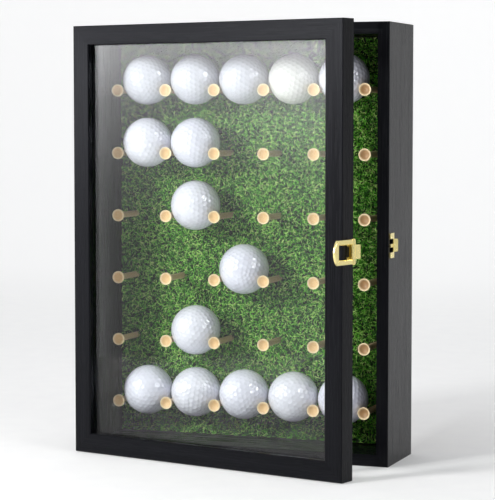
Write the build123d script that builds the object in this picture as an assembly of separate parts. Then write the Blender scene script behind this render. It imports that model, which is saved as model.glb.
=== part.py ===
from build123d import *
import math
import os

# Display case for golf balls: a shallow black wooden cabinet with a hinged glass door.
# Inside, tees stand out of a turf-covered board in six rows of six, and each ball rests
# on the shanks of two neighbouring tees.
#
# Millimetres, +X right, +Y back, +Z up, seen from the front. The origin is the centre of
# the cabinet's base. The door's parts are built shut and then swung to where it stands ajar.

# ---- Balls and their places ----
ball_diameter = 42.67
ball_gap = 1.83              # between two neighbouring balls in a row
row_gap = 11.13              # between one ball and the ball straight above it
ball_turf_gap = 0.3          # behind a seated ball
ball_front_gap = 4.03        # from a ball's front to the cabinet's front edge
seat_clearance = 0.12        # between a ball and the shanks that it rests on
columns = 6                  # tees in a row
rows = 6
# Seats that hold a ball, one tuple for each row from the top, seat 1 at the left.
filled_seats = [(1, 2, 3, 4, 5), (1, 2), (2,), (3,), (2,), (1, 2, 3, 4, 5)]

# ---- Tees ----
shank_diameter = 5.2
tee_head_diameter = 10.5
tee_rim_height = 1.5         # the straight edge of the head
tee_head_gap = 1.4           # between a ball and the rim of the head in front of it
tee_neck_length = 8.8        # from the rim to where the shank becomes straight
tee_lip = 0.55               # width of the flat lip round the cup
tee_cup_depth = 1.9
tee_point_length = 7.0
tee_point_diameter = 1.0
tee_hole_clearance = 0.04    # round a shank in the board
turf_hole_clearance = 0.3    # round a shank in the turf

# ---- Cabinet ----
side_margin = 14.25          # from the end tee's axis to the side board
top_margin = 45.0            # from the top row's axis to the top board
bottom_margin = 32.0         # from the lowest row's axis to the bottom board
board_thickness = 10.0
edge_break = 0.5             # small bevel on the long outer edges
tee_board_thickness = 12.0
tee_board_clearance = 0.2    # between the tee board and the boards round it
turf_thickness = 6.0         # backing and pile together
turf_margin = 1.2            # bare strip round the turf
back_panel_thickness = 3.2
back_recess = 3.8            # from the back panel to the boards' rear edges
back_rebate = 4.0            # how far the back panel runs into each board
back_panel_clearance = 0.3   # round the back panel in its rebate

# ---- Door ----
door_thickness = 16.5
frame_width = 16.5           # face width of each rail and stile
joint_gap = 0.4              # between the shut door and the cabinet
door_end_gap = 0.6           # above and below the door
sight_bevel = 0.8            # bevel round the front of the door's opening
glass_recess = 5.0           # from the door's front to the glass
glass_thickness = 2.0
glass_rebate = 6.0           # how far the rebate runs in behind the sight edge
glass_clearance = 0.5        # round the pane in its rebate
strip_width = 5.0
strip_thickness = 2.5
ajar_angle = 14.5            # how far the door stands open

# ---- Hinges ----
hinge_height = 30.0
hinge_inset = 62.0           # from the cabinet's base or top to the middle of a hinge
leaf_width = 8.0             # from the boards' outer face inwards
leaf_thickness = 1.0
mortise_clearance = 0.1
barrel_diameter = 4.0
barrel_offset = 2.3          # from the boards' outer face out to the pin's axis
hinge_pin_diameter = 2.0
knuckle_gap = 0.2
pin_seat_clearance = 0.02    # where a pin is held fast
pin_running_clearance = 0.05
leaf_screw_spacing = 18.0
screw_head_diameter = 3.6
screw_shank_diameter = 1.8
screw_length = 8.0
screw_clearance = 0.03
screw_slot_width = 0.6
screw_slot_depth = 0.5

# ---- Latch on the door's edge ----
latch_sheet = 1.0            # thickness of the pressed brass sheet
latch_standoff = 3.2         # from the door's edge face to the latch pin's axis
latch_setback = 5.4          # from the door's rear face to the latch pin's axis
latch_pin_diameter = 1.6
latch_pin_head = 2.6
latch_pin_head_thickness = 0.5
latch_eye_diameter = 3.8
latch_gap = 0.15             # between the pieces stacked along the latch pin
loop_hole_height = 11.7
loop_hole_reach = 22.2       # from the pin's axis to the far side of the loop's hole
loop_arm = 3.9               # width of each of the loop's two arms
loop_nose = 5.9              # width of the loop's far bar at its middle
loop_bulge = 2.6             # how far the far bar curves out
loop_thickness = 2.0
loop_bevel = 0.5
tongue_length = 6.0
tongue_angle = 35.0          # between the tongue and the door's edge face
tongue_corner = 0.6
latch_ear_height = 5.4
latch_ear_length = 8.0
latch_bridge = 4.4
ear_corner = 1.2

# ---- Catch on the cabinet's side ----
catch_height = 20.5
catch_ear_height = 4.7
catch_ear_length = 11.0
catch_bridge = 2.5
catch_hook_height = 10.6
catch_hook_length = 4.6
catch_hook_angle = 35.0      # between the hook and the board's outer face
catch_hook_corner = 1.2
catch_play = 0.3             # between the shut loop and the hook
catch_finger_height = 2.8
catch_finger_length = 7.6
catch_pocket_depth = 2.5     # of the pocket in the board behind the finger

# ---- Fixings on the back ----
brad_head_diameter = 3.0
brad_head_thickness = 0.5
brad_diameter = 1.2
brad_length = 12.0
brads_across = 3             # along each short side
brads_up = 4                 # along each long side
brad_corner_inset = 20.0     # from one line of brads to the first brad of the next
hanger_length = 45.0
hanger_height = 9.0
hanger_thickness = 1.0
hanger_teeth = 9
hanger_tooth_depth = 1.6
hanger_inset = 60.0          # from the cabinet's side to a hanger's middle
hanger_drop = 20.0           # from the cabinet's top to a hanger's middle

overshoot = 0.5              # how far a cutting shape runs past the face that it opens

# ---- Places that follow from these sizes ----
column_pitch = ball_diameter + ball_gap
row_pitch = ball_diameter + row_gap
inner_width = (columns - 1) * column_pitch + 2 * side_margin
inner_height = (rows - 1) * row_pitch + bottom_margin + top_margin
cabinet_width = inner_width + 2 * board_thickness
cabinet_height = inner_height + 2 * board_thickness
turf_depth = ball_front_gap + ball_diameter + ball_turf_gap
cabinet_depth = turf_depth + turf_thickness + tee_board_thickness + back_panel_thickness + back_recess
front_y = -cabinet_depth / 2
rear_y = cabinet_depth / 2
turf_y = front_y + turf_depth
tee_board_y = turf_y + turf_thickness
back_panel_y = tee_board_y + tee_board_thickness
side_x = cabinet_width / 2
mid_z = cabinet_height / 2

ball_radius = ball_diameter / 2
ball_y = turf_y - ball_turf_gap - ball_radius
ball_to_tee = ball_radius + shank_diameter / 2 + seat_clearance
ball_rise = math.sqrt(ball_to_tee**2 - (column_pitch / 2) ** 2)
# The rim clears the ball where the ball's surface has curved away from it.
rim_lead = math.sqrt((ball_radius + tee_head_gap) ** 2 - (ball_to_tee - tee_head_diameter / 2) ** 2)
tee_front_y = ball_y - rim_lead - tee_rim_height
tee_length = back_panel_y - tee_front_y
lowest_tee_z = board_thickness + bottom_margin

door_rear_y = front_y - joint_gap
door_front_y = door_rear_y - door_thickness
door_height = cabinet_height - 2 * door_end_gap
hinge_x = -side_x - barrel_offset
hinge_y = front_y - joint_gap / 2
hinge_middles = {"lower": hinge_inset, "upper": cabinet_height - hinge_inset}
knuckle_split = hinge_height / 6   # from a hinge's middle to the joint between two knuckles

latch_x = side_x + latch_standoff
latch_y = door_rear_y - latch_setback
latch_height = loop_hole_height + 2 * loop_arm
knuckle_height = loop_hole_height - 2 * latch_gap
latch_screw_y = latch_y + latch_bridge / 2 - latch_ear_length + latch_ear_height / 2
latch_screw_z = (latch_height - latch_ear_height) / 2

# The hook ends where the far bar of the shut loop's hole begins.
hook_lean = math.radians(catch_hook_angle)
hook_run = catch_hook_length * math.cos(hook_lean) + latch_sheet / 2 * math.sin(hook_lean)
hook_root_y = latch_y + loop_hole_reach - catch_play - hook_run
catch_rear_y = hook_root_y + latch_sheet
catch_front_y = catch_rear_y - catch_ear_length
catch_screw_y = catch_front_y + (catch_ear_height + ear_corner) / 2
catch_screw_z = (catch_height - catch_ear_height) / 2

hanger_nail_length = hanger_thickness + back_panel_thickness + tee_board_thickness / 2


def column_x(column):
    """X of a tee's axis; column 1 is at the left."""
    return (column - (columns + 1) / 2) * column_pitch


def row_z(row):
    """Height of a tee's axis; row 1 is at the top."""
    return lowest_tee_z + (rows - row) * row_pitch


def block(x, y, z):
    """A box given by its lowest and highest value along each axis."""
    size = [high - low for low, high in (x, y, z)]
    middle = [(high + low) / 2 for low, high in (x, y, z)]
    return Pos(*middle) * Box(*size)


def upright(radius, low, high, x=0.0, y=0.0):
    """A vertical cylinder from z = low to z = high."""
    return Pos(x, y, (low + high) / 2) * Cylinder(radius, high - low)


def along_y(radius, low, high):
    """A cylinder on the Y axis, from y = low to y = high."""
    return Pos(0, (low + high) / 2, 0) * Rot(90, 0, 0) * Cylinder(radius, high - low)


def spread(count, reach):
    """Evenly spaced values from -reach to reach."""
    return [(2 * i / (count - 1) - 1) * reach for i in range(count)]


def holes_at(places, hole):
    """The same hole at each place, as one tool for a single cut."""
    return Compound(children=[Pos(*place) * hole for place in places])


def swung(shape):
    """A piece of the door, turned about the hinge pins from shut to ajar."""
    return Pos(hinge_x, hinge_y, 0) * Rot(0, 0, -ajar_angle) * Pos(-hinge_x, -hinge_y, 0) * shape


def save(name, *solids):
    """Writes one node: a single solid, or a group of separate ones."""
    shape = solids[0] if len(solids) == 1 else Compound(children=list(solids))
    shape.label = name
    export_step(shape, f"parts/{name}.step")


# ---- Mitred frames ----
frame_sides = ("bottom", "left", "top", "right")


def mitred_bar(section, width, height, side, middle_z):
    """One bar of a rectangular frame with mitred corners.

    section lists the corners of its profile as (distance in from the frame's outer edge, y).
    Each bar is made as the bottom one and brought to its side by quarter turns.
    """
    length, across = (width, height) if side in ("bottom", "top") else (height, width)
    reach = max(inwards for inwards, _ in section)
    profile = make_face(Polyline([(-length / 2, y, inwards) for inwards, y in section], close=True))
    bar = extrude(profile, amount=length, dir=(1, 0, 0))
    near = min(y for _, y in section)
    far = max(y for _, y in section)
    outline = Polyline(
        [
            (-length / 2, near, 0),
            (length / 2, near, 0),
            (length / 2 - reach, near, reach),
            (-length / 2 + reach, near, reach),
        ],
        close=True,
    )
    bar = bar & extrude(make_face(outline), amount=far - near, dir=(0, 1, 0))
    turn = 90 * frame_sides.index(side)
    return Pos(0, 0, middle_z) * Rot(0, turn, 0) * Pos(0, 0, -across / 2) * bar


# ---- Fasteners ----
def countersunk_screw(length):
    """A slotted screw pointing along +Y, with its flat head's face at y = 0."""
    head = screw_head_diameter / 2
    shank = screw_shank_diameter / 2
    cone = head - shank
    outline = Polyline([(0, 0), (head, 0), (shank, cone), (shank, length), (0, length)], close=True)
    screw = revolve(make_face(outline), Axis.Y)
    slot = Box(2 * head, 2 * screw_slot_depth, screw_slot_width)
    return screw - slot


def countersunk_hole(length):
    """The hole that fits that screw, a little larger all round and open at the front."""
    head = screw_head_diameter / 2 + screw_clearance
    shank = screw_shank_diameter / 2 + screw_clearance
    cone = head - shank
    end = length + screw_clearance
    outline = Polyline(
        [(0, -overshoot), (head, -overshoot), (head, 0), (shank, cone), (shank, end), (0, end)], close=True
    )
    return revolve(make_face(outline), Axis.Y)


def brad():
    """A round-headed brad pointing along -Y, with the underside of its head at y = 0."""
    head = along_y(brad_head_diameter / 2, 0, brad_head_thickness)
    return head + along_y(brad_diameter / 2, -brad_length, 0)


# Screws on the right sides of the door and cabinet point along -X.
inwards_from_right = Rot(0, 0, 90)


# ---- Cabinet ----
def cabinet_section():
    """Profile of each cabinet board, with the rebate for the back panel at its inner rear edge."""
    ledge = back_panel_y
    return [
        (edge_break, front_y),
        (board_thickness, front_y),
        (board_thickness, ledge),
        (board_thickness - back_rebate, ledge),
        (board_thickness - back_rebate, rear_y),
        (edge_break, rear_y),
        (0, rear_y - edge_break),
        (0, front_y + edge_break),
    ]


def leaf_mortise(low_y, high_y, middle):
    """The pocket for one hinge leaf, open at the boards' outer face."""
    half = hinge_height / 2 + mortise_clearance
    inner = -side_x + leaf_width + mortise_clearance
    return block((-side_x - overshoot, inner), (low_y, high_y), (middle - half, middle + half))


def leaf_screw_places(y):
    """Where the screws of both hinges' leaves start."""
    x = -side_x + leaf_width / 2
    half = leaf_screw_spacing / 2
    return [(x, y, middle + side * half) for middle in hinge_middles.values() for side in (-1, 1)]


def catch_screw_places():
    """Where the catch's two screws start, on the cabinet's right side."""
    return [(side_x + latch_sheet, catch_screw_y, mid_z + side * catch_screw_z) for side in (-1, 1)]


def catch_pocket():
    """The shallow pocket in the right board behind the catch's finger."""
    half = catch_height / 2 - catch_ear_height
    return block(
        (side_x - catch_pocket_depth, side_x + overshoot),
        (catch_front_y, catch_rear_y - catch_bridge),
        (mid_z - half, mid_z + half),
    )


def brad_places():
    """Places of the brads round the back panel, in the middle of the ledge that it lies on."""
    half_width = (inner_width + back_rebate) / 2
    half_height = (inner_height + back_rebate) / 2
    across = spread(brads_across, half_width - brad_corner_inset)
    up = spread(brads_up, half_height - brad_corner_inset)
    ends = [(x, mid_z + side * half_height) for x in across for side in (-1, 1)]
    sides = [(side * half_width, mid_z + z) for z in up for side in (-1, 1)]
    rear = back_panel_y + back_panel_thickness
    return [(x, rear, z) for x, z in ends + sides]


def nail_hole(length):
    """The hole for a brad or nail of this length, open at the face that its head lies on."""
    return along_y(brad_diameter / 2 + screw_clearance, -length - screw_clearance, overshoot)


def cabinet_board(side):
    """One board, with the pockets and holes for what is fixed to it."""
    board = mitred_bar(cabinet_section(), cabinet_width, cabinet_height, side, mid_z)
    board -= holes_at(brad_places(), nail_hole(brad_length))
    if side == "left":
        for middle in hinge_middles.values():
            board -= leaf_mortise(front_y - overshoot, front_y + leaf_thickness, middle)
        board -= holes_at(leaf_screw_places(front_y), countersunk_hole(screw_length))
    if side == "right":
        board -= catch_pocket()
        board -= holes_at(catch_screw_places(), inwards_from_right * countersunk_hole(screw_length))
    return board


def hanger_places():
    """Middles of the two hangers, on the back panel's rear face."""
    x = side_x - hanger_inset
    z = cabinet_height - hanger_drop
    return [(side * x, back_panel_y + back_panel_thickness, z) for side in (-1, 1)]


def hanger_nail_places():
    """Where the hangers' nails start, one near each end of a hanger."""
    half = (hanger_length - hanger_height) / 2
    return [(x + side * half, y + hanger_thickness, z) for x, y, z in hanger_places() for side in (-1, 1)]


def back_panel():
    """The thin panel in the boards' rebate."""
    half_width = inner_width / 2 + back_rebate - back_panel_clearance
    half_height = inner_height / 2 + back_rebate - back_panel_clearance
    panel = block(
        (-half_width, half_width),
        (back_panel_y, back_panel_y + back_panel_thickness),
        (mid_z - half_height, mid_z + half_height),
    )
    panel -= holes_at(brad_places(), nail_hole(brad_length))
    return panel - holes_at(hanger_nail_places(), nail_hole(hanger_nail_length))


def tee_places(row_list):
    """Where the tees' axes cross y = 0, for every tee in these rows."""
    return [(column_x(column), 0, row_z(row)) for row in row_list for column in range(1, columns + 1)]


def inner_plate(margin, low_y, high_y):
    """A plate that fills the inside of the cabinet up to a margin."""
    half_width = inner_width / 2 - margin
    half_height = inner_height / 2 - margin
    return block((-half_width, half_width), (low_y, high_y), (mid_z - half_height, mid_z + half_height))


def tee_board():
    """The board that holds the tees."""
    hole = along_y(shank_diameter / 2 + tee_hole_clearance, tee_board_y - overshoot, back_panel_y + overshoot)
    board = inner_plate(tee_board_clearance, tee_board_y, back_panel_y)
    board -= holes_at(tee_places(range(1, rows + 1)), hole)
    return board - holes_at(hanger_nail_places(), nail_hole(hanger_nail_length))


def turf_mat():
    """The turf in front of that board, as a plate with a hole round each tee."""
    hole = along_y(shank_diameter / 2 + turf_hole_clearance, turf_y - overshoot, tee_board_y + overshoot)
    mat = inner_plate(turf_margin, turf_y, tee_board_y)
    return mat - holes_at(tee_places(range(1, rows + 1)), hole)


# ---- Tees: a dished head, a neck that flares like a trumpet, a straight shank and a point ----
def tee():
    """One tee on the Y axis, with its cup towards the front."""
    shank = shank_diameter / 2
    head = tee_head_diameter / 2
    front = tee_front_y
    rim_end = front + tee_rim_height
    cup_bottom = (0, front + tee_cup_depth)
    lip = (head - tee_lip, front)
    neck_end = (shank, rim_end + tee_neck_length)
    cup = TangentArc(cup_bottom, lip, tangent=(1, 0))
    edge = Polyline([lip, (head, front), (head, rim_end)])
    # The neck is an arc that leaves the shank without a corner.
    neck = TangentArc(neck_end, (head, rim_end), tangent=(0, -1))
    rest = Polyline(
        [
            neck_end,
            (shank, back_panel_y - tee_point_length),
            (tee_point_diameter / 2, back_panel_y),
            (0, back_panel_y),
            cup_bottom,
        ]
    )
    return revolve(make_face([cup, edge, neck, rest]), Axis.Y)


def tee_row(row):
    """The six tees of one row."""
    one = tee()
    return [Pos(*place) * one for place in tee_places([row])]


# ---- Balls ----
def ball_place(row, seat):
    """The middle of the ball that rests on the tees at both sides of this seat."""
    x = (column_x(seat) + column_x(seat + 1)) / 2
    return x, ball_y, row_z(row) + ball_rise


# ---- Hinges ----
def hinge_leaf(plate_y, knuckles, clearance):
    """One leaf with its knuckles, about a hinge whose middle is at z = 0.

    plate_y is the plate's (low, high) in Y and knuckles lists the (low, high) of each knuckle in Z.
    """
    half = hinge_height / 2
    leaf = block((-side_x + mortise_clearance, -side_x + leaf_width), plate_y, (-half, half))
    for low, high in knuckles:
        leaf += upright(barrel_diameter / 2, low, high, hinge_x, hinge_y)
        leaf += block((hinge_x, -side_x + leaf_width / 2), plate_y, (low, high))
    bore = hinge_pin_diameter / 2 + clearance
    leaf -= upright(bore, -half - overshoot, half + overshoot, hinge_x, hinge_y)
    places = [(-side_x + leaf_width / 2, 0, side * leaf_screw_spacing / 2) for side in (-1, 1)]
    return leaf, places


def cabinet_leaf():
    """The leaf with the upper and lower knuckles, which hold the pin fast."""
    start = knuckle_split + knuckle_gap / 2
    knuckles = [(-hinge_height / 2, -start), (start, hinge_height / 2)]
    leaf, places = hinge_leaf((front_y, front_y + leaf_thickness), knuckles, pin_seat_clearance)
    hole = Pos(0, front_y, 0) * countersunk_hole(screw_length)
    return leaf - holes_at(places, hole)


def door_leaf():
    """The leaf with the middle knuckle, which turns on the pin."""
    end = knuckle_split - knuckle_gap / 2
    knuckles = [(-end, end)]
    leaf, places = hinge_leaf((door_rear_y - leaf_thickness, door_rear_y), knuckles, pin_running_clearance)
    hole = Pos(0, door_rear_y, 0) * Rot(0, 0, 180) * countersunk_hole(screw_length)
    return leaf - holes_at(places, hole)


def hinge_pin():
    """A pin with a low domed head at the top."""
    radius = hinge_pin_diameter / 2
    half = hinge_height / 2
    head = upright(barrel_diameter / 2 - knuckle_gap, half, half + radius)
    head = chamfer(head.edges().group_by(Axis.Z)[-1], radius / 2)
    return Pos(hinge_x, hinge_y, 0) * (upright(radius, -half, half) + head)


# ---- Door ----
def door_section():
    """Profile of each rail and stile: a bevelled sight edge and a rebate for the glass behind it."""
    glass_y = door_front_y + glass_recess
    return [
        (edge_break, door_front_y),
        (frame_width - sight_bevel, door_front_y),
        (frame_width, door_front_y + sight_bevel),
        (frame_width, glass_y),
        (frame_width - glass_rebate, glass_y),
        (frame_width - glass_rebate, door_rear_y),
        (edge_break, door_rear_y),
        (0, door_rear_y - edge_break),
        (0, door_front_y + edge_break),
    ]


def latch_screw_places():
    """Where the latch's two screws start, on the door's right side."""
    x = side_x + latch_sheet
    return [(x, latch_screw_y, mid_z + side * latch_screw_z) for side in (-1, 1)]


def door_bar(side):
    """One rail or stile, with the pockets and holes for what is fixed to it."""
    bar = mitred_bar(door_section(), cabinet_width, door_height, side, mid_z)
    if side == "left":
        for middle in hinge_middles.values():
            bar -= leaf_mortise(door_rear_y - leaf_thickness, door_rear_y + overshoot, middle)
        hole = Rot(0, 0, 180) * countersunk_hole(screw_length)
        bar -= holes_at(leaf_screw_places(door_rear_y), hole)
    if side == "right":
        bar -= holes_at(latch_screw_places(), inwards_from_right * countersunk_hole(screw_length))
    return bar


def rebate_size():
    """Width and height of the opening inside the door's rebate."""
    edge = frame_width - glass_rebate
    return cabinet_width - 2 * edge, door_height - 2 * edge


def glass_pane():
    """The pane, with a little play in its rebate."""
    width, height = rebate_size()
    half_width = width / 2 - glass_clearance
    half_height = height / 2 - glass_clearance
    low = door_front_y + glass_recess
    return block(
        (-half_width, half_width), (low, low + glass_thickness), (mid_z - half_height, mid_z + half_height)
    )


def glazing_strips():
    """Four mitred strips that hold the glass in its rebate from behind."""
    low = door_front_y + glass_recess + glass_thickness
    high = low + strip_thickness
    section = [(0, low), (strip_width, low), (strip_width - strip_thickness / 2, high), (0, high)]
    width, height = rebate_size()
    return [mitred_bar(section, width, height, side, mid_z) for side in frame_sides]


# ---- Latch ----
def ear_plate(ear_length, ear_height, bridge, height):
    """A C-shaped plate lying in the YZ plane, its back edge at y = 0 and its ears towards -Y."""
    ear = Pos(-ear_length / 2, 0) * RectangleRounded(ear_length, ear_height, ear_corner)
    offset = (height - ear_height) / 2
    flat = Pos(0, offset) * ear + Pos(0, -offset) * ear + Pos(-bridge / 2, 0) * Rectangle(bridge, height)
    return extrude(Plane.YZ * flat, amount=latch_sheet)


def bent_tab(length, height, angle, corner):
    """A flat tab that leaves the Z axis backwards, bent outwards by angle, with two rounded corners."""
    half = latch_sheet / 2
    tab = block((0, length), (-half, half), (-height / 2, height / 2))
    tab = fillet(tab.edges().filter_by(Axis.Y).group_by(Axis.X)[-1], corner)
    return Rot(0, 0, 90 - angle) * tab


def latch_base():
    """The plate on the door's edge, with the knuckle for the pin and the tongue that stands out of it."""
    plate = ear_plate(latch_ear_length, latch_ear_height, latch_bridge, latch_height)
    eye = latch_eye_diameter / 2
    base = Pos(-latch_standoff, latch_bridge / 2, 0) * plate
    base += Cylinder(eye, knuckle_height)
    base += block((-latch_standoff, 0), (eye - latch_sheet, eye), (-knuckle_height / 2, knuckle_height / 2))
    base += bent_tab(tongue_length, knuckle_height, tongue_angle, tongue_corner)
    base -= Cylinder(latch_pin_diameter / 2 + pin_seat_clearance, latch_height)
    base = Pos(latch_x, latch_y, mid_z) * base
    return base - holes_at(latch_screw_places(), inwards_from_right * countersunk_hole(screw_length))


def latch_pin():
    """The loop's pin, with a flat head at each end."""
    half = latch_height / 2 + latch_gap
    pin = Cylinder(latch_pin_diameter / 2, 2 * half)
    head = Cylinder(latch_pin_head / 2, latch_pin_head_thickness)
    offset = half + latch_pin_head_thickness / 2
    return Pos(latch_x, latch_y, mid_z) * (pin + Pos(0, 0, offset) * head + Pos(0, 0, -offset) * head)


def latch_loop():
    """The D-shaped loop, swung right open so that it points forwards from its pin."""
    half = latch_height / 2
    reach = loop_hole_reach + loop_nose
    corner = reach - loop_bulge
    shoulder = half - loop_arm / 2
    # Outline in the YZ plane; the far bar bows out and its corners are cut off.
    sides = Polyline(
        [(-corner, shoulder), (-corner + loop_arm / 2, half), (0, half), (0, -half)]
        + [(-corner + loop_arm / 2, -half), (-corner, -shoulder)]
    )
    bow = ThreePointArc((-corner, -shoulder), (-reach, 0), (-corner, shoulder))
    outline = make_face([sides, bow])
    hole = Pos(-loop_hole_reach / 2, 0) * Rectangle(loop_hole_reach, loop_hole_height)
    flat = outline - hole
    loop = Pos(-loop_thickness / 2, 0, 0) * extrude(Plane.YZ * flat, amount=loop_thickness)
    face = loop.faces().sort_by(Axis.X)[-1]
    rims = [edge for edge in face.edges() if edge.center().Y < -loop_bevel]
    loop = chamfer(rims, loop_bevel)
    middle = (loop_hole_height + loop_arm) / 2
    eye = Cylinder(latch_eye_diameter / 2, loop_arm)
    for side in (-1, 1):
        loop += Pos(0, 0, side * middle) * eye
    loop -= Cylinder(latch_pin_diameter / 2 + pin_running_clearance, 3 * half)
    return Pos(latch_x, latch_y, mid_z) * loop


def catch_plate():
    """The plate on the cabinet's side: two ears, a short finger between them and a bent hook."""
    plate = ear_plate(catch_ear_length, catch_ear_height, catch_bridge, catch_height)
    catch = Pos(side_x, catch_rear_y, mid_z) * plate
    catch += block(
        (side_x, side_x + latch_sheet),
        (catch_rear_y - catch_bridge - catch_finger_length, catch_rear_y),
        (mid_z - catch_finger_height / 2, mid_z + catch_finger_height / 2),
    )
    hook = bent_tab(catch_hook_length, catch_hook_height, catch_hook_angle, catch_hook_corner)
    catch += Pos(side_x + latch_sheet / 2, hook_root_y, mid_z) * hook
    return catch - holes_at(catch_screw_places(), inwards_from_right * countersunk_hole(screw_length))


# ---- Hangers on the back ----
def hanger():
    """A saw-toothed plate lying in the XZ plane, its front face at y = 0 and its teeth downwards."""
    half = hanger_length / 2
    top = hanger_height / 2
    toothed = half - hanger_height
    step = 2 * toothed / hanger_teeth
    points = [(-half, top), (-half, -top)]
    for i in range(hanger_teeth):
        start = -toothed + i * step
        points += [(start, -top), (start + step / 2, -top + hanger_tooth_depth)]
    points += [(toothed, -top), (half, -top), (half, top)]
    plate = extrude(Plane.XZ * make_face(Polyline(points, close=True)), amount=-hanger_thickness)
    hole = along_y(brad_diameter / 2 + screw_clearance, -overshoot, hanger_thickness + overshoot)
    return plate - holes_at([(side * (half - top), 0, 0) for side in (-1, 1)], hole)


def hanger_nail():
    """A round-headed nail pointing along -Y, with the underside of its head at y = 0."""
    head = along_y(brad_head_diameter / 2, 0, brad_head_thickness)
    return head + along_y(brad_diameter / 2, -hanger_nail_length, 0)


# ---- Write every node ----
os.makedirs("parts", exist_ok=True)

for side in frame_sides:
    save(f"cabinet_{side}_board", cabinet_board(side))
save("back_panel", back_panel())
save("tee_board", tee_board())
save("turf_mat", turf_mat())
for row in range(1, rows + 1):
    save(f"tees_row_{row}", *tee_row(row))
one_ball = Sphere(ball_radius)
for row, seats in enumerate(filled_seats, start=1):
    for seat in seats:
        save(f"ball_row_{row}_seat_{seat}", Pos(*ball_place(row, seat)) * one_ball)

for name, middle in hinge_middles.items():
    save(f"{name}_hinge_cabinet_leaf", Pos(0, 0, middle) * cabinet_leaf())
    save(f"{name}_hinge_door_leaf", swung(Pos(0, 0, middle) * door_leaf()))
save("hinge_pins", *[Pos(0, 0, middle) * hinge_pin() for middle in hinge_middles.values()])
leaf_screw = countersunk_screw(screw_length)
save("cabinet_hinge_screws", *[Pos(*place) * leaf_screw for place in leaf_screw_places(front_y)])
door_screws = [Pos(*place) * Rot(0, 0, 180) * leaf_screw for place in leaf_screw_places(door_rear_y)]
save("door_hinge_screws", *[swung(screw) for screw in door_screws])

door_names = {
    "bottom": "door_bottom_rail",
    "left": "door_hinge_stile",
    "top": "door_top_rail",
    "right": "door_latch_stile",
}
for side, name in door_names.items():
    save(name, swung(door_bar(side)))
save("glass_pane", swung(glass_pane()))
save("glazing_strips", *[swung(strip) for strip in glazing_strips()])

save("latch_base", swung(latch_base()))
save("latch_pin", swung(latch_pin()))
save("latch_loop", swung(latch_loop()))
side_screw = inwards_from_right * countersunk_screw(screw_length)
save("latch_screws", *[swung(Pos(*place) * side_screw) for place in latch_screw_places()])
save("catch_plate", catch_plate())
save("catch_screws", *[Pos(*place) * side_screw for place in catch_screw_places()])

save("back_panel_brads", *[Pos(*place) * brad() for place in brad_places()])
save("sawtooth_hangers", *[Pos(*place) * hanger() for place in hanger_places()])
save("hanger_nails", *[Pos(*place) * hanger_nail() for place in hanger_nail_places()])
print(f"cabinet {cabinet_width:.1f} x {cabinet_depth:.1f} x {cabinet_height:.1f} mm")
print(f"tee length {tee_length:.2f} mm, ball rise {ball_rise:.2f} mm")
print(f"hinge axis ({hinge_x:.3f}, {hinge_y:.3f}), latch axis when shut ({latch_x:.3f}, {latch_y:.3f})")
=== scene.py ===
import math

import bpy
import numpy as np
from mathutils import Matrix, Vector


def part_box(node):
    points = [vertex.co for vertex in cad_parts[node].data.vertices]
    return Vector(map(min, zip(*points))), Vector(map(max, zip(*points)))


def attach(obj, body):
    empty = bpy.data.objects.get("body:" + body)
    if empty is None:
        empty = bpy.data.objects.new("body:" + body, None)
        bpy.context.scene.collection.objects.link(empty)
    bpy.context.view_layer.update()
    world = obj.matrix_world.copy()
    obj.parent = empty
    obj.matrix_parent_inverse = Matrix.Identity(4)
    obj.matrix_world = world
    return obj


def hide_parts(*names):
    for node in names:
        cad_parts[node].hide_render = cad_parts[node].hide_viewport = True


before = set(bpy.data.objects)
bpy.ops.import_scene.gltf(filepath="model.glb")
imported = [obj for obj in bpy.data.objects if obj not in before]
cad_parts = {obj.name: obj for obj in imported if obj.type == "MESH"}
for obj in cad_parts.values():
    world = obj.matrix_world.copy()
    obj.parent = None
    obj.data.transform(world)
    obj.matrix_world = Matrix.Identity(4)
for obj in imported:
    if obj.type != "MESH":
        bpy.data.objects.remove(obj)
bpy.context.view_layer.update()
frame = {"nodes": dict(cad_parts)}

# A black wooden display case for golf balls, with its glass door ajar. Metres, in the shared frame:
# +X right, +Y back, +Z up, and the case stands on z = 0.

MM = 0.001
SEED = 7
BLACK = (0.0, 0.0, 0.0)

# ---- Sizes of what is made here ----
BALL_DIMPLE_BANDS = 6        # steps of the dimple pattern along one edge of the icosahedron
BALL_MESH_STEPS = 48         # steps of the ball's mesh along the same edge
DIMPLE_DEPTH = 0.32 * MM
DIMPLE_SHARE = 0.445         # a dimple's radius as a share of the way to its nearest neighbour
TEE_LIP = 0.55 * MM          # width of the flat lip round a tee's cup
TEE_CUP_DEPTH = 2.3 * MM     # what lies further back than this is no longer cup
TEE_SHADE_DEPTHS = (2.6 * MM, 9.0 * MM)  # how far back painted shade starts to darken a tee, and where it is darkest
TEE_SHANK_RADIUS = 2.6 * MM
TEE_COLUMNS = 6
BACKING_THICKNESS = 0.9 * MM
BACKING_CLEARANCE = 0.3 * MM  # round a tee's shank in the backing
PILE_CLEARANCE = 0.7 * MM    # round a tee's shank, where no blade has its root
BLADE_PITCH = 1.2 * MM       # between neighbouring blades of the turf
BLADE_WIDTH = 0.74 * MM
BLADE_LENGTH = (4.8 * MM, 6.9 * MM)
TURF_STRIPS = 6              # the pile is made in strips, one for each row of tees

# ---- Light and camera, placed as for the photograph ----
AJAR = math.radians(14.5)    # how far the door stands open there
MIDDLE = Vector((0.0, 0.0, 0.18))    # of the case, at which the lights look
SKY_STRENGTH = 0.97
HAZE_GLOW = (11.7, 11.64, 12.0)      # of the card that the pane mirrors
WINDOW_GLOW = (13.3, 13.72, 14.0)    # of the window that the balls mirror
CAMERA_PLACE = Vector((0.59387, -1.60875, 0.29092))
CAMERA_TURN = math.radians(20.29)    # to the left of straight ahead
CAMERA_DROP = math.radians(3.89)     # below level
CAMERA_LENS = 144.17                 # mm, for a picture that is SENSOR_WIDTH wide
SENSOR_WIDTH = 36.0                  # mm


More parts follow.
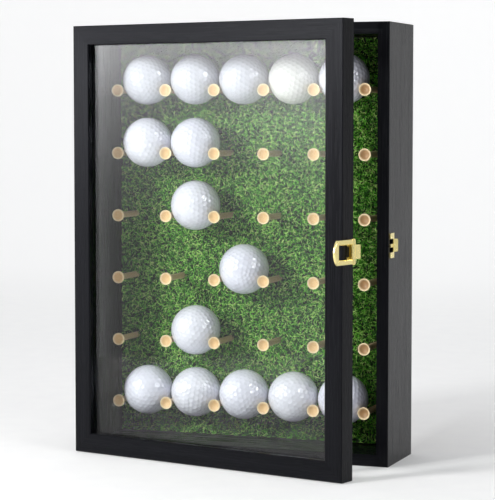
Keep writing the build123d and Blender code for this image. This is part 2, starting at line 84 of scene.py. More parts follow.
# ---------------------------------------------------------------------------
# Shader maths
# ---------------------------------------------------------------------------
class Wire:
    """One output of a node. The operators on it add Math nodes, so that masks read as expressions."""

    def __init__(self, nodes, socket):
        self.nodes = nodes
        self.socket = socket

    def _math(self, operation, *values):
        sockets = dict(enumerate(values))
        return self.nodes.node("Math", {"operation": operation}, sockets)

    def __add__(self, other):
        return self._math("ADD", self, other)

    def __radd__(self, other):
        return self._math("ADD", other, self)

    def __sub__(self, other):
        return self._math("SUBTRACT", self, other)

    def __rsub__(self, other):
        return self._math("SUBTRACT", other, self)

    def __mul__(self, other):
        return self._math("MULTIPLY", self, other)

    def __rmul__(self, other):
        return self._math("MULTIPLY", other, self)

    def __pow__(self, other):
        return self._math("POWER", self, other)

    def root(self):
        return self._math("SQRT", self)

    def wrapped(self, high, low):
        return self._math("WRAP", self, high, low)


class Nodes:
    """The nodes of one material or of the sky."""

    def __init__(self, tree):
        self.tree = tree
        self.tree.nodes.clear()

    def node(self, kind, settings=None, sockets=None, out=0):
        """Adds a node: its settings first, then the values or links of its sockets. Returns one output."""
        node = self.tree.nodes.new("ShaderNode" + kind)
        for name, value in (settings or {}).items():
            if name == "stops":
                self._stops(node.color_ramp.elements, value)
            else:
                setattr(node, name, value)
        for name, value in (sockets or {}).items():
            if isinstance(value, Wire):
                self.tree.links.new(value.socket, node.inputs[name])
            else:
                node.inputs[name].default_value = value
        return Wire(self, node.outputs[out]) if node.outputs else None

    @staticmethod
    def _stops(elements, stops):
        while len(elements) < len(stops):
            elements.new(1.0)
        for element, (place, colour) in zip(elements, stops):
            element.position = place
            element.color = colour

    def place(self):
        """Position on the piece, in metres, which moves with the piece."""
        return self.node("TexCoord", out="Object")

    def axis(self, where, name):
        """One of the X, Y and Z of where."""
        return self.node("SeparateXYZ", {}, {"Vector": where}, out=name)

    def noise(self, where, scale, detail=2.0, roughness=0.5, distortion=0.0):
        sockets = {"Vector": where, "Scale": scale, "Detail": detail}
        sockets.update({"Roughness": roughness, "Distortion": distortion})
        return self.node("TexNoise", {}, sockets)

    def stretched(self, where, scale, turn=0.0):
        """Coordinates scaled along each axis, after a turn about Z."""
        turned = self.node("Mapping", {}, {"Vector": where, "Rotation": (0.0, 0.0, turn)})
        return self.node("VectorMath", {"operation": "MULTIPLY"}, {0: turned, 1: scale})

    def ramp(self, factor, *stops):
        """A colour or grey ramp; a stop is (place, value) with value a grey or an (r, g, b)."""
        filled = [(at, (v, v, v, 1.0) if isinstance(v, float) else (*v, 1.0)) for at, v in stops]
        return self.node("ValToRGB", {"stops": filled}, {"Fac": factor})

    def span(self, value, low, high, start=0.0, end=1.0):
        """value from low..high, carried over to start..end and held there."""
        sockets = {"Value": value, "From Min": low, "From Max": high, "To Min": start, "To Max": end}
        return self.node("MapRange", {"clamp": True}, sockets)

    def mixed(self, factor, first, second):
        """Two colours mixed."""
        sockets = {0: factor, 6: rgba(first), 7: rgba(second)}
        return self.node("Mix", {"data_type": "RGBA"}, sockets, out=2)

    def bump(self, height, distance, strength):
        return self.node("Bump", {}, {"Height": height, "Distance": distance, "Strength": strength})


class Finish(Nodes):
    """A material under construction."""

    def __init__(self, name):
        self.material = bpy.data.materials.new(name)
        self.material.use_nodes = True
        super().__init__(self.material.node_tree)

    def shown(self, surface):
        """Ends the material with this shader and returns it."""
        self.node("OutputMaterial", {}, {"Surface": surface})
        return self.material

    def principled(self, **sockets):
        """Ends the material with a Principled shader; the names are its sockets', with _ for a space."""
        named = {name.replace("_", " "): rgba(value) for name, value in sockets.items()}
        return self.shown(self.node("BsdfPrincipled", {}, named))

    def glowing(self, share, glow):
        """Ends the material as a black card that glows by this share of glow."""
        return self.principled(
            Base_Color=BLACK,
            Specular_IOR_Level=0.0,
            Emission_Color=self.mixed(share, BLACK, glow),
            Emission_Strength=1.0,
        )


def rgba(value):
    """A colour with its alpha added; anything else as it is."""
    return (*value, 1.0) if isinstance(value, tuple) and len(value) == 3 else value


# ---------------------------------------------------------------------------
# Finishes
# ---------------------------------------------------------------------------
def black_wood(name, along, turn=0.0):
    """Black lacquered wood with open grain that runs along X or Z."""
    f = Finish(name)
    here = f.place()
    fine = (26.0, 760.0, 760.0) if along == "x" else (760.0, 760.0, 26.0)
    broad = (6.0, 120.0, 120.0) if along == "x" else (120.0, 120.0, 6.0)
    pores = f.noise(f.stretched(here, fine, turn), 1.0, 3.0, 0.6)
    bands = f.noise(f.stretched(here, broad, turn), 1.0, 2.0, 0.5, 0.4)
    open_pores = f.span(pores, 0.36, 0.52)
    grain = bands * 0.55 + pores * 0.45
    colour = f.ramp(grain, (0.30, (0.0021, 0.0022, 0.0030)), (0.72, (0.0055, 0.0057, 0.0074)))
    rough = f.span(bands, 0.3, 0.7, 0.21, 0.27) + (1 - open_pores) * 0.10
    relief = f.bump(open_pores * 0.7 + bands * 0.3, 0.16 * MM, 0.32)
    return f.principled(
        Base_Color=colour,
        Roughness=rough,
        Normal=relief,
        Specular_IOR_Level=0.10,
        Specular_Tint=(0.90, 0.92, 0.98),
    )


def hardboard():
    """Brown pressed board with short fibres and a faintly waxed face."""
    f = Finish("hardboard")
    here = f.place()
    fibres = f.noise(f.stretched(here, (420.0, 420.0, 1500.0)), 1.0, 4.0, 0.65, 1.2)
    clouds = f.noise(here, 22.0, 3.0)
    brown = fibres * 0.6 + clouds * 0.4
    colour = f.ramp(brown, (0.32, (0.085, 0.045, 0.022)), (0.68, (0.21, 0.125, 0.066)))
    rough = f.span(fibres, 0.3, 0.7, 0.48, 0.72)
    return f.principled(Base_Color=colour, Roughness=rough, Normal=f.bump(fibres, 0.1 * MM, 0.5))


def plywood():
    """Layered wood, dark; only a hair line of it shows round the turf."""
    f = Finish("plywood")
    here = f.place()
    plies = f.noise(f.stretched(here, (30.0, 900.0, 30.0)), 1.0, 2.0)
    grain = f.noise(f.stretched(here, (300.0, 300.0, 14.0)), 1.0, 4.0, 0.6)
    colour = f.ramp(plies * 0.5 + grain * 0.5, (0.3, (0.020, 0.014, 0.008)), (0.7, (0.045, 0.032, 0.018)))
    rough = f.span(grain, 0.3, 0.7, 0.6, 0.8)
    return f.principled(Base_Color=colour, Roughness=rough, Normal=f.bump(grain, 0.1 * MM, 0.4))


def tee_wood(front, first, pitch, lip_radius):
    """Pale turned wood with end grain in the cup, darkened by painted shade in the last column, and a shank
    darkened by painted shade further back.

    first is the (x, z) of the lowest left tee's axis and pitch the (x, z) from each axis to the next.
    """
    f = Finish("tee_wood")
    here = f.place()
    x, y, z = (f.axis(here, name) for name in "XYZ")
    depth = y - front
    across = (x - first[0]).wrapped(pitch[0] / 2, -pitch[0] / 2)
    up = (z - first[1]).wrapped(pitch[1] / 2, -pitch[1] / 2)
    off_axis = (across * across + up * up).root()
    grain = f.noise(f.stretched(here, (900.0, 60.0, 900.0)), 1.0, 3.0, 0.6)
    fleck = f.noise(f.stretched(here, (1500.0, 160.0, 1500.0)), 1.0, 2.0, 0.5)
    pale = f.ramp(grain * 0.7 + fleck * 0.3, (0.30, (0.74, 0.55, 0.30)), (0.70, (0.88, 0.74, 0.50)))
    in_front = f.span(depth, TEE_CUP_DEPTH + 0.1 * MM, TEE_CUP_DEPTH - 0.1 * MM)
    in_cup = f.span(off_axis, lip_radius, 0.72 * lip_radius) * in_front
    # Painted shade: the cups of the last column are darker, as the door's frame shades them.
    painted_shade_last_column = f.span(x, first[0] + 4.4 * pitch[0], first[0] + 4.6 * pitch[0])
    end_grain_and_painted_shade = f.mixed(painted_shade_last_column, (0.68, 0.43, 0.19), (0.26, 0.12, 0.03))
    cup = f.mixed(in_cup * 0.9, pale, end_grain_and_painted_shade)
    # Painted shade: the shank darkens towards the back, where the head and the turf shade it.
    shank = f.span(depth, *TEE_SHADE_DEPTHS)
    colour = f.mixed(shank * 0.6, cup, (0.36, 0.20, 0.095))
    rough = f.span(grain, 0.3, 0.7, 0.42, 0.6)
    return f.principled(Base_Color=colour, Roughness=rough, Normal=f.bump(grain, 0.06 * MM, 0.4))


def brass(name):
    """Polished pressed brass with faint rubbed lines and a few duller spots."""
    f = Finish(name)
    here = f.place()
    rubbed = f.noise(f.stretched(here, (400.0, 400.0, 4000.0)), 1.0, 2.0, 0.6)
    spots = f.noise(here, 900.0, 3.0, 0.6)
    colour = f.ramp(spots, (0.35, (0.97, 0.82, 0.34)), (0.65, (1.0, 0.87, 0.41)))
    rough = f.span(rubbed * 0.5 + spots * 0.5, 0.35, 0.65, 0.21, 0.28)
    relief = f.bump(rubbed * 0.8 + spots * 0.2, 0.004 * MM, 0.2)
    return f.principled(Base_Color=colour, Metallic=1.0, Roughness=rough, Normal=relief)


def steel():
    """Zinc-plated steel, a little cloudy."""
    f = Finish("steel")
    here = f.place()
    clouds = f.noise(here, 500.0, 3.0, 0.6)
    colour = f.ramp(clouds, (0.3, (0.42, 0.43, 0.45)), (0.7, (0.62, 0.62, 0.63)))
    rough = f.span(clouds, 0.3, 0.7, 0.26, 0.42)
    relief = f.bump(clouds, 0.01 * MM, 0.5)
    return f.principled(Base_Color=colour, Metallic=1.0, Roughness=rough, Normal=relief)


def glass():
    """A clear thin pane: it mirrors as glass does and lets the rest straight through."""
    f = Finish("glass")
    smears = f.noise(f.place(), 9.0, 3.0, 0.55)
    slant = f.node("LayerWeight", {}, {"Blend": 0.5}, out="Facing")
    share = slant**5 * 0.5 + f.span(smears, 0.3, 0.7, 0.021, 0.024)
    through = f.node("BsdfTransparent", {}, {"Color": (0.965, 0.975, 0.968, 1.0)})
    gloss = f.node("BsdfGlossy", {}, {"Color": (1.0, 1.0, 1.0, 1.0), "Roughness": 0.0})
    return f.shown(f.node("MixShader", {}, {0: share, 1: through, 2: gloss}))


def ball_cover(name, tint):
    """Glossy white ball cover with a clear coat over it."""
    f = Finish(name)
    clouds = f.noise(f.place(), 120.0, 3.0, 0.6)
    deep = tuple(value * 0.95 for value in tint)
    colour = f.mixed(f.span(clouds, 0.35, 0.65), deep, tint)
    rough = f.span(clouds, 0.35, 0.65, 0.26, 0.34)
    relief = f.bump(f.noise(f.place(), 2600.0, 2.0), 0.006 * MM, 0.3)
    return f.principled(
        Base_Color=colour,
        Roughness=rough,
        Normal=relief,
        Coat_Weight=1.0,
        Coat_Roughness=0.04,
    )


def turf_pile():
    """Grass blades of many greens, paler towards their tips; their darkening towards the roots is painted
    shade.
    """
    f = Finish("turf_pile")
    tone = f.node("Attribute", {"attribute_name": "tone"}, out="Fac")
    rise = f.node("Attribute", {"attribute_name": "rise"}, out="Fac")
    patches = f.noise(f.place(), 38.0, 3.0, 0.55)
    clumps = f.span(f.noise(f.place(), 420.0, 1.0, 0.5), 0.3, 0.7)
    green = f.ramp(
        tone * 0.60 + clumps * 0.32 + patches * 0.08,
        (0.12, (0.005, 0.035, 0.002)),
        (0.40, (0.034, 0.200, 0.006)),
        (0.56, (0.160, 0.730, 0.022)),
        (0.78, (0.740, 1.000, 0.310)),
    )
    # Painted shade: each blade darkens to near black at its root, where the pile shades it.
    colour = f.mixed(f.span(rise, 0.15, 0.95), (0.002, 0.008, 0.001), green)
    rough = f.span(tone, 0.0, 1.0, 0.62, 0.46)
    return f.principled(Base_Color=colour, Roughness=rough, Specular_IOR_Level=0.4)


def turf_backing():
    """The woven backing that the pile is stitched into."""
    f = Finish("turf_backing")
    here = f.place()
    stitches = f.noise(f.stretched(here, (500.0, 500.0, 1400.0)), 1.0, 2.0)
    colour = f.ramp(stitches, (0.35, (0.004, 0.012, 0.004)), (0.65, (0.014, 0.036, 0.012)))
    rough = f.span(stitches, 0.3, 0.7, 0.8, 0.95)
    return f.principled(Base_Color=colour, Roughness=rough, Normal=f.bump(stitches, 0.3 * MM, 0.6))


# ---------------------------------------------------------------------------
# Meshes
# ---------------------------------------------------------------------------
def mesh_piece(name, points, faces, material, smooth=True):
    """A new mesh object from points and faces."""
    mesh = bpy.data.meshes.new(name)
    mesh.from_pydata([tuple(p) for p in points], [], [tuple(int(i) for i in face) for face in faces])
    mesh.materials.append(material)
    mesh.polygons.foreach_set("use_smooth", [smooth] * len(mesh.polygons))
    mesh.update()
    piece = bpy.data.objects.new(name, mesh)
    bpy.context.scene.collection.objects.link(piece)
    return piece


def icosahedron():
    """Corners and faces of an icosahedron on the unit sphere."""
    golden = (1 + math.sqrt(5)) / 2
    corners = []
    for a, b in ((1, golden), (1, -golden), (-1, golden), (-1, -golden)):
        corners += [(0, a, b), (a, b, 0), (b, 0, a)]
    corners = np.array(corners) / math.sqrt(1 + golden**2)
    edge = min(np.linalg.norm(corners[0] - corner) for corner in corners[1:])
    near = np.linalg.norm(corners[:, None] - corners[None], axis=2) < edge * 1.1
    faces = []
    for i in range(12):
        for j in range(i + 1, 12):
            for k in range(j + 1, 12):
                if near[i, j] and near[j, k] and near[i, k]:
                    outward = np.dot(np.cross(corners[j] - corners[i], corners[k] - corners[i]), corners[i])
                    faces.append((i, j, k) if outward > 0 else (i, k, j))
    return corners, faces


def geodesic(steps):
    """Points and triangles of the unit sphere, each edge of an icosahedron in that many steps."""
    corners, faces = icosahedron()
    numbers = {}
    points = []
    triangles = []

    def number(i, j, k, a, b, c):
        weights = tuple(sorted((n, w) for n, w in ((i, a), (j, b), (k, c)) if w))
        if weights not in numbers:
            numbers[weights] = len(points)
            point = sum(w * corners[n] for n, w in weights)
            points.append(point / np.linalg.norm(point))
        return numbers[weights]

    for i, j, k in faces:
        for a in range(steps):
            for b in range(steps - a):
                c = steps - a - b
                here = number(i, j, k, a, b, c)
                right = number(i, j, k, a + 1, b, c - 1)
                up = number(i, j, k, a, b + 1, c - 1)
                triangles.append((here, right, up))
                if c > 1:
                    triangles.append((right, number(i, j, k, a + 1, b + 1, c - 2), up))
    points = np.array(points)
    first = np.array(triangles)[:, 0]
    second = np.array(triangles)[:, 1]
    third = np.array(triangles)[:, 2]
    facing = np.cross(points[second] - points[first], points[third] - points[first])
    if (facing * points[first]).sum(axis=1).mean() < 0:
        triangles = [(a, c, b) for a, b, c in triangles]
    return points, triangles


def dimpled_sphere(radius):
    """A ball's surface with round dimples in an icosahedral pattern."""
    centres, _ = geodesic(BALL_DIMPLE_BANDS)
    points, triangles = geodesic(BALL_MESH_STEPS)
    between = centres @ centres.T
    np.fill_diagonal(between, -1.0)
    reach = DIMPLE_SHARE * np.arccos(between.max(axis=1))
    angles = np.arccos(np.clip(points @ centres.T, -1.0, 1.0))
    nearest = angles.argmin(axis=1)
    share = angles[np.arange(len(points)), nearest] / reach[nearest]
    depth = DIMPLE_DEPTH * np.clip(1 - share**2, 0.0, 1.0) ** 0.85
    return points * (radius - depth)[:, None], triangles


def ball_turn(index):
    """A ball's own lie, the same each time the scene is made."""
    draw = np.random.default_rng(SEED + index)
    axis = Vector(draw.normal(size=3)).normalized()
    return Matrix.Rotation(draw.uniform(0, 2 * math.pi), 4, axis)


def pierced_plate(name, x_edges, z_edges, y_faces, holes, radius, material):
    """A plate in the XZ plane with a round hole in each cell that holds one; holes are (x, z)."""
    sides = 32               # of a hole's rim
    points = []
    faces = []
    low, high = y_faces

    def add(x, z, y):
        points.append((x, y, z))
        return len(points) - 1

    def rim_and_wall(cx, cz, box):
        rim = []
        wall = []
        for step in range(sides):
            angle = 2 * math.pi * (step + 0.5) / sides
            dx, dz = math.cos(angle), math.sin(angle)
            rim.append((cx + radius * dx, cz + radius * dz))
            reach_x = ((box[1] if dx > 0 else box[0]) - cx) / dx
            reach_z = ((box[3] if dz > 0 else box[2]) - cz) / dz
            reach = min(reach_x, reach_z)
            wall.append((cx + reach * dx, cz + reach * dz))
        return rim, wall

    for (cx, cz), box in zip(holes, cells(x_edges, z_edges)):
        rim, wall = rim_and_wall(cx, cz, box)
        front = [[add(x, z, low) for x, z in ring] for ring in (rim, wall)]
        back = [[add(x, z, high) for x, z in ring] for ring in (rim, wall)]
        for s in range(sides):
            t = (s + 1) % sides
            faces.append((front[0][s], front[0][t], front[1][t], front[1][s]))
            faces.append((back[0][s], back[1][s], back[1][t], back[0][t]))
            faces.append((front[0][s], back[0][s], back[0][t], front[0][t]))
        for corner_x, corner_z in ((0, 2), (0, 3), (1, 2), (1, 3)):
            x, z = box[corner_x], box[corner_z]
            for ring, y, flip in ((front[1], low, False), (back[1], high, True)):
                own = [i for i in range(sides) if abs(points[ring[i]][0] - x) < 1e-9]
                other = [i for i in range(sides) if abs(points[ring[i]][2] - z) < 1e-9]
                i = min(own, key=lambda n: abs(points[ring[n]][2] - z))
                j = min(other, key=lambda n: abs(points[ring[n]][0] - x))
                corner = add(x, z, y)
                one, two = (ring[i], ring[j]) if (j - i) % sides == 1 else (ring[j], ring[i])
                faces.append((one, two, corner) if not flip else (one, corner, two))
    return mesh_piece(name, points, faces, material, smooth=False)


def cells(x_edges, z_edges):
    """The boxes (x0, x1, z0, z1) between the edges, row by row."""
    boxes = []
    for z0, z1 in zip(z_edges, z_edges[1:]):
        boxes += [(x0, x1, z0, z1) for x0, x1 in zip(x_edges, x_edges[1:])]
    return boxes


def blades(name, box, bounds, root_y, tip_y, holes, hole_radius, draw, material):
    """Grass blades that root in the plane y = root_y inside box and reach forward to about tip_y.

    None of them leans out of bounds, which like box is (x0, x1, z0, z1).
    """
    x0, x1, z0, z1 = box
    across = int(round((x1 - x0) / BLADE_PITCH))
    up = int(round((z1 - z0) / BLADE_PITCH))
    grid_x, grid_z = np.meshgrid(np.arange(across) + 0.5, np.arange(up) + 0.5)
    count = across * up
    x = x0 + (grid_x.ravel() + draw.uniform(-0.5, 0.5, count)) * (x1 - x0) / across
    z = z0 + (grid_z.ravel() + draw.uniform(-0.5, 0.5, count)) * (z1 - z0) / up
    clear = np.ones(count, bool)
    for hx, hz in holes:
        clear &= (x - hx) ** 2 + (z - hz) ** 2 > hole_radius**2
    x, z = x[clear], z[clear]
    count = len(x)
    length = draw.uniform(*BLADE_LENGTH, count)
    depth = root_y - tip_y
    forward = np.minimum(depth * draw.uniform(0.45, 1.0, count), length * 0.97)
    sideways = np.sqrt(length**2 - forward**2)
    heading = draw.uniform(0, 2 * math.pi, count)
    lean_x, lean_z = np.cos(heading) * sideways, np.sin(heading) * sideways
    # The width lies across the lean, with a little twist.
    twist = heading + math.pi / 2 + draw.normal(0, 0.35, count)
    half = BLADE_WIDTH / 2 * draw.uniform(0.7, 1.25, count)
    wx, wz = np.cos(twist) * half, np.sin(twist) * half
    rings = []
    for share, bend, width in ((0.0, 0.0, 0.8), (0.55, 0.32, 1.0), (0.86, 0.72, 0.66), (1.0, 1.0, 0.0)):
        y = root_y - forward * share
        cx, cz = x + lean_x * bend, z + lean_z * bend
        cx, cz = np.clip(cx, bounds[0], bounds[1]), np.clip(cz, bounds[2], bounds[3])
        if width:
            rings.append(np.stack([cx - wx * width, y, cz - wz * width], axis=1))
            rings.append(np.stack([cx + wx * width, y, cz + wz * width], axis=1))
        else:
            rings.append(np.stack([cx, y, cz], axis=1))
    points = np.stack(rings, axis=1).reshape(-1, 3)
    first = np.arange(count)[:, None] * len(rings)
    quads = np.concatenate([first + [0, 1, 3, 2], first + [2, 3, 5, 4]], axis=1).reshape(-1, 4)
    tips = first + [4, 5, 6]
    corners = np.concatenate([quads.ravel(), tips.ravel()])
    sizes = np.concatenate([np.full(len(quads), 4), np.full(len(tips), 3)])
    starts = np.concatenate([[0], np.cumsum(sizes)[:-1]])
    mesh = bpy.data.meshes.new(name)
    mesh.vertices.add(len(points))
    mesh.vertices.foreach_set("co", points.ravel())
    mesh.loops.add(len(corners))
    mesh.loops.foreach_set("vertex_index", corners)
    mesh.polygons.add(len(sizes))
    mesh.polygons.foreach_set("loop_start", starts)
    mesh.polygons.foreach_set("use_smooth", np.ones(len(sizes), bool))
    mesh.update(calc_edges=True)
    tone = np.repeat(np.clip(draw.normal(0.5, 0.3, count), 0, 1), len(rings))
    rise = np.tile([0.0, 0.0, 0.55, 0.55, 0.86, 0.86, 1.0], count)
    for label, values in (("tone", tone), ("rise", rise)):
        mesh.attributes.new(label, "FLOAT", "POINT").data.foreach_set("value", values)
    mesh.materials.append(material)
    piece = bpy.data.objects.new(name, mesh)
    bpy.context.scene.collection.objects.link(piece)
    return piece


# ---------------------------------------------------------------------------
# The piece list
# ---------------------------------------------------------------------------
nodes = frame["nodes"]


def dress(node_name, material):
    """Gives a CAD node its finish."""
    node = nodes[node_name]
    node.data.materials.clear()
    node.data.materials.append(material)


wood = {
    "upright": black_wood("black_wood_upright", "z"),
    "level": black_wood("black_wood_level", "x"),
    "door_level": black_wood("black_wood_door_level", "x", AJAR),
}
for name in ("cabinet_left_board", "cabinet_right_board", "door_hinge_stile", "door_latch_stile"):
    dress(name, wood["upright"])
for name in ("cabinet_top_board", "cabinet_bottom_board"):
    dress(name, wood["level"])
for name in ("door_top_rail", "door_bottom_rail", "glazing_strips"):
    dress(name, wood["door_level"])
dress("back_panel", hardboard())
dress("tee_board", plywood())
dress("glass_pane", glass())

brass_finish = brass("brass")
steel_finish = steel()
for name in nodes:
    if name.startswith(("latch_", "catch_")) or ("hinge_" in name and "stile" not in name):
        dress(name, brass_finish)
for name in ("back_panel_brads", "sawtooth_hangers", "hanger_nails"):
    dress(name, steel_finish)


def tee_axes():
    """Where the tees' axes are, as lists of x and of z, the plane of their fronts and a head's radius."""
    rows = sorted((name for name in nodes if name.startswith("tees_row_")), reverse=True)
    boxes = [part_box(name) for name in rows]
    low, high = boxes[-1]
    head = (boxes[0][1].z - boxes[0][0].z) / 2
    first, last = low.x + head, high.x - head
    xs = [first + (last - first) * i / (TEE_COLUMNS - 1) for i in range(TEE_COLUMNS)]
    zs = [(low.z + high.z) / 2 for low, high in boxes]
    return xs, zs, low.y, head


tee_xs, tee_zs, tee_front, tee_head = tee_axes()
tee_pitch = (tee_xs[1] - tee_xs[0], tee_zs[1] - tee_zs[0])
tee_finish = tee_wood(tee_front, (tee_xs[0], tee_zs[0]), tee_pitch, tee_head - TEE_LIP)
for name in nodes:
    if name.startswith("tees_row_"):
        dress(name, tee_finish)


def dimpled_balls():
    """A dimpled ball in the place of each plain one, in one of four whites; the dimmest, on the top row, is
    painted shade.
    """
    tints = [(0.76, 0.765, 0.875), (0.785, 0.79, 0.88), (0.72, 0.72, 0.70), (0.585, 0.595, 0.67)]
    bluish, cool, creamy, dim = (ball_cover(f"ball_cover_{i + 1}", tint) for i, tint in enumerate(tints))
    own = {"ball_row_1_seat_4": creamy, "ball_row_1_seat_5": cool}
    names = sorted(name for name in nodes if name.startswith("ball_"))
    low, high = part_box(names[0])
    points, triangles = dimpled_sphere((high.x - low.x) / 2)
    for index, name in enumerate(names):
        low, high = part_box(name)
        # Painted shade: the top row's balls take the dimmest cover, as the case's top shades them.
        usual = dim if "row_1" in name else (bluish, cool)[index % 2]
        ball = mesh_piece(f"dimpled_{name}", points, triangles, own.get(name, usual))
        ball.matrix_world = Matrix.Translation((low + high) / 2) @ ball_turn(index)
        bpy.context.view_layer.update()
        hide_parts(name)
        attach(ball, name)


def turf():
    """The turf's backing, pierced for the tees, and its pile, in strips."""
    low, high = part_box("turf_mat")
    root_y = high.y - BACKING_THICKNESS
    x_edges = [low.x] + [(a + b) / 2 for a, b in zip(tee_xs, tee_xs[1:])] + [high.x]
    z_edges = [low.z] + [(a + b) / 2 for a, b in zip(tee_zs, tee_zs[1:])] + [high.z]
    holes = [(x, z) for z in tee_zs for x in tee_xs]
    hole_radius = TEE_SHANK_RADIUS + BACKING_CLEARANCE
    y_faces = (root_y, high.y)
    backing = pierced_plate("turf_backing", x_edges, z_edges, y_faces, holes, hole_radius, turf_backing())
    pieces = [backing]
    bounds = (low.x, high.x, low.z, high.z)
    clear_radius = TEE_SHANK_RADIUS + PILE_CLEARANCE
    pile = turf_pile()
    for strip in range(TURF_STRIPS):
        box = (low.x, high.x, z_edges[strip], z_edges[strip + 1])
        draw = np.random.default_rng(SEED * 100 + strip)
        name = f"turf_pile_{strip + 1}"
        pieces.append(blades(name, box, bounds, root_y, low.y, holes, clear_radius, draw, pile))
    for piece in pieces:
        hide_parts("turf_mat")
        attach(piece, "cabinet")


dimpled_balls()
turf()


# ---------------------------------------------------------------------------
# Floor, light and camera
# ---------------------------------------------------------------------------
def floor_and_backdrop():
    """A pale floor that curves up into a backdrop behind the case and glows a little, least right of the
    case, where the cut glow is a painted shadow.
    """
    f = Finish("pale_floor")
    paper = f.noise(f.place(), 40.0, 3.0, 0.5)
    colour = f.ramp(paper, (0.3, (0.59, 0.59, 0.59)), (0.7, (0.61, 0.61, 0.605)))
    across, away = (f.axis(f.place(), name) for name in "XY")
    dimmed = f.span(away, 0.2, 3.0) * f.span(across, -0.3, 1.0, 1.0, 0.3)
    # Painted shadow: the floor's glow is cut right of the case.
    painted_shadow_beside = f.span(across, 0.11, 0.13) * f.span(across, 0.13, 0.30, 0.5, 0.0)
    painted_shadow_beside = painted_shadow_beside * f.span(away, -0.055, -0.03) * f.span(away, 0.05, 0.35, 1.0, 0.0)
    glow = f.ramp(dimmed, (0.0, (0.23, 0.23, 0.23)), (1.0, (0.60, 0.60, 0.60)))
    material = f.principled(
        Base_Color=colour,
        Roughness=0.75,
        Specular_IOR_Level=0.2,
        Emission_Color=f.mixed(painted_shadow_beside, glow, BLACK),
        Emission_Strength=1.0,
    )
    half_width, front, back, height, radius = 30.0, -30.0, 3.0, 4.0, 1.2
    steps = 16
    profile = [(front, 0.0), (back - radius, 0.0)]
    for step in range(1, steps + 1):
        angle = math.pi / 2 * step / steps
        profile.append((back - radius + radius * math.sin(angle), radius - radius * math.cos(angle)))
    profile.append((back, height))
    points = [(x, y, z) for y, z in profile for x in (-half_width, half_width)]
    faces = [(2 * i, 2 * i + 1, 2 * i + 3, 2 * i + 2) for i in range(len(profile) - 1)]
    mesh_piece("floor", points, faces, material)


def studio_sky():
    """Soft light from above, dim near the horizon."""
    world = bpy.data.worlds.new("studio")
    world.use_nodes = True
    sky = Nodes(world.node_tree)
    up = sky.axis(sky.node("TexCoord", out="Generated"), "Z")
    dome = sky.ramp(up, (0.0, (0.17, 0.175, 0.185)), (0.35, (0.26, 0.265, 0.28)), (1.0, (0.62, 0.63, 0.65)))
    lit = sky.node("Background", {}, {"Color": dome, "Strength": SKY_STRENGTH})
    sky.node("OutputWorld", {}, {"Surface": lit})
    bpy.context.scene.world = world


def softbox(name, place, target, side, power):
    """A square soft light that looks at target."""
    light = bpy.data.lights.new(name, "AREA")
    light.shape = "RECTANGLE"
    light.size, light.size_y = side, side
    light.energy = power
    lamp = bpy.data.objects.new(name, light)
    lamp.location = place
    lamp.rotation_euler = (Vector(target) - Vector(place)).to_track_quat("-Z", "Y").to_euler()
    lamp.visible_camera = False
    bpy.context.scene.collection.objects.link(lamp)


def around(azimuth, elevation, distance):
    """A place round the case: azimuth 0 is straight in front, positive to the right."""
    a, e = math.radians(azimuth), math.radians(elevation)
    return MIDDLE + distance * Vector((math.sin(a) * math.cos(e), -math.cos(a) * math.cos(e), math.sin(e)))


def hide_from(card, *rays):
    """Hides a card from these rays."""
    for kind in rays:
        setattr(card, f"visible_{kind}", False)


def mirrored(point, far):
    """Where the camera's ray, turned back by the pane at point, meets the upright plane through far.

    The plane faces the pane.
    """
    normal = Vector((-math.sin(AJAR), -math.cos(AJAR), 0.0))
    ray = (point - CAMERA_PLACE).normalized()
    ray -= 2 * ray.dot(normal) * normal
    facing = Vector((point.x - far.x, point.y - far.y, 0.0)).normalized()
    return point + ray * ((far - point).dot(facing) / ray.dot(facing))


def haze_card():
    """A glowing card left of the case that the pane mirrors: bright above, fading downwards."""
    pane_low, pane_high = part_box("glass_pane")
    left = Vector((pane_low.x, pane_high.y, pane_high.z))
    right = Vector((pane_high.x, pane_low.y, pane_high.z))
    centre = around(-50.5, 0.0, 0.8)
    seen_left, seen_right = mirrored(left, centre), mirrored(right, centre)
    side = Vector((seen_right.x - seen_left.x, seen_right.y - seen_left.y, 0.0)).normalized()
    span = (seen_right - seen_left).dot(side)
    start, end, top = -1.0 * span, 2.0 * span, 0.9
    f = Finish("haze_card")
    along, height = (f.axis(f.place(), name) for name in "XZ")
    rise = f.ramp(
        f.span(height, 0.0, 0.8),
        (0.00, 0.11),
        (0.19, 0.13),
        (0.27, 0.20),
        (0.38, 0.42),
        (0.44, 0.76),
        (0.465, 0.90),
        (0.485, 0.26),
        (0.53, 0.08),
        (0.90, 0.03),
    )
    sway = f.ramp(
        f.span(along, start, end),
        (0.10, 0.5),
        (0.28, 1.0),
        (0.34, 0.95),
        (0.37, 0.76),
        (0.50, 0.72),
        (0.58, 0.92),
        (0.645, 1.0),
        (0.675, 0.16),
        (0.78, 0.05),
    )
    left_band = f.span(along, 0.10 * span, 0.0, 0.0, 0.10)
    edge = f.span(along, start, -0.8 * span) * f.span(along, end, 1.7 * span) * f.span(height, top, 0.75)
    material = f.glowing((rise * sway + left_band) * edge, HAZE_GLOW)
    points = [(x, 0.0, z) for z in (0.0, top) for x in (start, end)]
    card = mesh_piece("haze_card", points, [(0, 1, 3, 2)], material)
    turn = Matrix.Rotation(math.atan2(side.y, side.x), 4, "Z")
    card.matrix_world = Matrix.Translation((seen_left.x, seen_left.y, 0.0)) @ turn
    hide_from(card, "camera", "diffuse", "shadow")


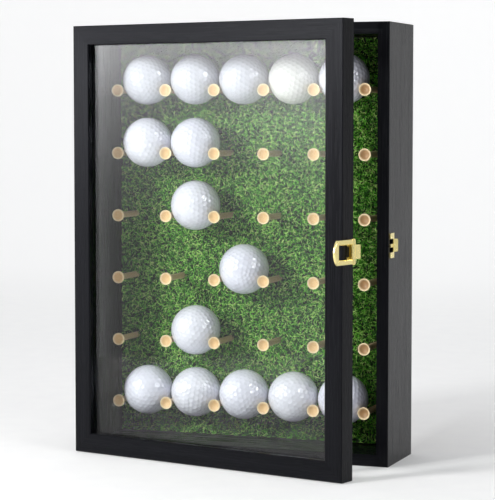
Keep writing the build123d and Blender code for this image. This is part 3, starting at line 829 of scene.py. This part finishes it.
def window_card():
    """A bright window of four lights to the right, which only glossy surfaces mirror."""
    f = Finish("window_card")
    here = f.place()
    bars = 1
    for name in "XY":
        out = f.axis(here, name)
        bars = bars * f.span((out * out).root(), 0.02, 0.03)
    material = f.glowing(bars, WINDOW_GLOW)
    half = 0.4
    points = [(x, y, 0.0) for y in (-half, half) for x in (-half, half)]
    card = mesh_piece("window_card", points, [(0, 1, 3, 2)], material)
    place = around(72, 28, 2.4)
    aim = (MIDDLE - place).to_track_quat("-Z", "Y").to_matrix().to_4x4()
    card.matrix_world = Matrix.Translation(place) @ aim
    hide_from(card, "camera", "diffuse", "shadow")


def key_flag():
    """A graded card in front of the turf's right edge that keeps most of the light off the turf there."""
    left, dark_from, right = 0.068, 0.094, 0.1255
    low, high = 0.012, 0.354
    f = Finish("key_flag")
    clear = f.node("BsdfTransparent")
    black = f.node("BsdfDiffuse", {}, {"Color": rgba(BLACK)})
    shade = f.span(f.axis(f.place(), "X"), left, dark_from, 0.0, 0.93)
    material = f.shown(f.node("MixShader", {}, {0: shade, 1: clear, 2: black}))
    points = [(left, 0.0, low), (right, 0.0, low), (right, 0.0, high), (left, 0.0, high)]
    flag = mesh_piece("key_flag", points, [(0, 1, 2, 3)], material)
    hide_from(flag, "camera", "diffuse", "glossy", "transmission")


def side_flag():
    """A dark card that keeps the side light out of the case.

    It stands edge-on to the key light, from the right board's front edge towards that light.
    """
    corner = (0.1255, -0.036)
    outer_end = (0.0764, -0.1115)
    height = 0.38
    f = Finish("side_flag")
    material = f.shown(f.node("BsdfDiffuse", {}, {"Color": rgba(BLACK)}))
    points = [(x, y, z) for z in (0.0, height) for x, y in (corner, outer_end)]
    flag = mesh_piece("side_flag", points, [(0, 1, 3, 2)], material)
    hide_from(flag, "camera", "diffuse", "glossy", "transmission")


def photograph_camera():
    """The camera, placed and turned as the photograph's was."""
    turn, drop = CAMERA_TURN, CAMERA_DROP
    right = Vector((math.cos(turn), math.sin(turn), 0.0))
    level = math.cos(drop)
    ahead = Vector((-math.sin(turn) * level, math.cos(turn) * level, -math.sin(drop)))
    axes = Matrix((right, right.cross(ahead), -ahead)).transposed().to_4x4()
    lens = bpy.data.cameras.new("camera")
    lens.sensor_width = SENSOR_WIDTH
    lens.lens = CAMERA_LENS
    camera = bpy.data.objects.new("camera", lens)
    camera.matrix_world = Matrix.Translation(CAMERA_PLACE) @ axes
    bpy.context.scene.collection.objects.link(camera)
    bpy.context.scene.camera = camera


floor_and_backdrop()
haze_card()
window_card()
softbox("key_light", (-0.709, -1.09, 0.65), MIDDLE, 0.3, 20.0)
key_flag()
side_flag()
softbox("side_light", around(66, 24, 2.3), MIDDLE, 0.7, 10.3)
softbox("top_light", (0.0, -0.2, 2.4), (0.0, 0.0, 0.0), 2.6, 13.5)
studio_sky()
photograph_camera()
bpy.context.scene.view_settings.view_transform = "Standard"
